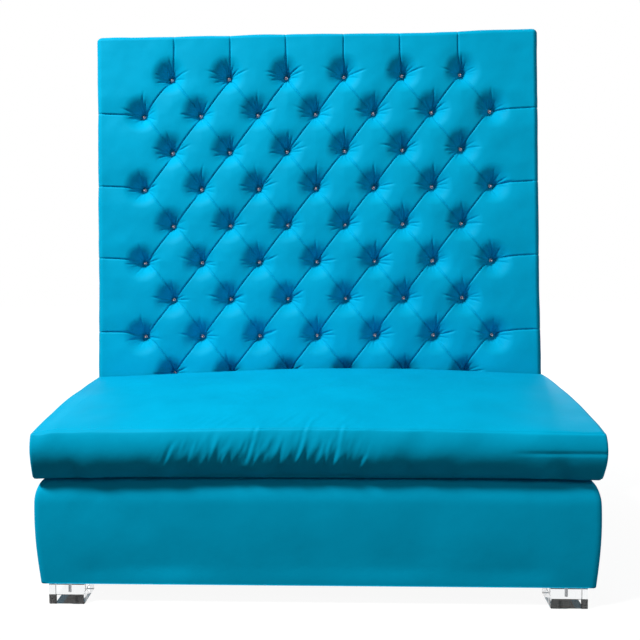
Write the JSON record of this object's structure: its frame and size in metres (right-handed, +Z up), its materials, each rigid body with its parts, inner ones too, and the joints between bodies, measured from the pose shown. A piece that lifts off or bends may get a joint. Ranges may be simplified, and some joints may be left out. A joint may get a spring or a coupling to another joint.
{
  "type": "high back settee",
  "caption": "Upholstered high back settee with a deep-buttoned leaned back, a loose bench cushion and clear block feet.",
  "frame": {"origin": "middle of the footprint on the floor", "axes": "X to the right as seen from the front, +Y to the rear, +Z up"},
  "size_m": [1.37, 0.8344, 1.5089],
  "materials": {
    "hardwood": "sawn and planed",
    "plywood": "sanded",
    "zinc_steel": "zinc plated",
    "clear_acrylic": "polished clear",
    "dust_cloth": "matte spunbond cloth",
    "webbing": "elastic woven webbing",
    "foam": "open-cell foam",
    "turquoise_fabric": "smooth microfibre with a soft satin sheen",
    "crystal": "faceted",
    "twine": "waxed linen",
    "toggle_plastic": "moulded",
    "zip_tape": "woven tape with nylon coil"
  },
  "bodies": {
    "settee_frame": {"base_side_rail_left": "hardwood", "base_side_rail_right": "hardwood", "base_front_rail": "hardwood", "base_middle_rail": "hardwood", "base_back_rail": "hardwood", "corner_blocks": "hardwood", "foot_inserts": "zinc_steel", "foot_hanger_bolts": "zinc_steel", "joining_bolts": "zinc_steel", "dust_cover": "dust_cloth", "foot_front_left": "clear_acrylic", "foot_front_right": "clear_acrylic", "foot_rear_left": "clear_acrylic", "foot_rear_right": "clear_acrylic", "seat_webbing": "webbing", "deck_pad": "foam", "base_cover": "turquoise_fabric", "back_post_left": "hardwood", "back_post_right": "hardwood", "back_bottom_rail": "hardwood", "back_seat_rail": "hardwood", "back_middle_rail": "hardwood", "back_upper_rail": "hardwood", "back_top_rail": "hardwood", "back_stiles": "hardwood", "tufting_board": "plywood", "back_foam_slab": "foam", "tufted_back_cover": "turquoise_fabric", "outside_back_panel": "turquoise_fabric", "crystal_buttons": "crystal", "button_twines": "twine", "twine_anchors": "toggle_plastic"},
    "seat_cushion": {"seat_cushion_cover": "turquoise_fabric", "seat_cushion_core": "foam", "cushion_zip": "zip_tape"},
    "zip_runner": {"zip_slider": "zinc_steel"}
  },
  "joints": [
    {"name": "cushion_lift", "type": "slide", "parent": "settee_frame", "child": "seat_cushion", "axis": [0, 0, 1], "range_m": [0, 0.25]},
    {"name": "zip_slide", "type": "slide", "parent": "seat_cushion", "child": "zip_runner", "axis": [-1, 0, 0], "range_m": [0, 1.1]}
  ]
}
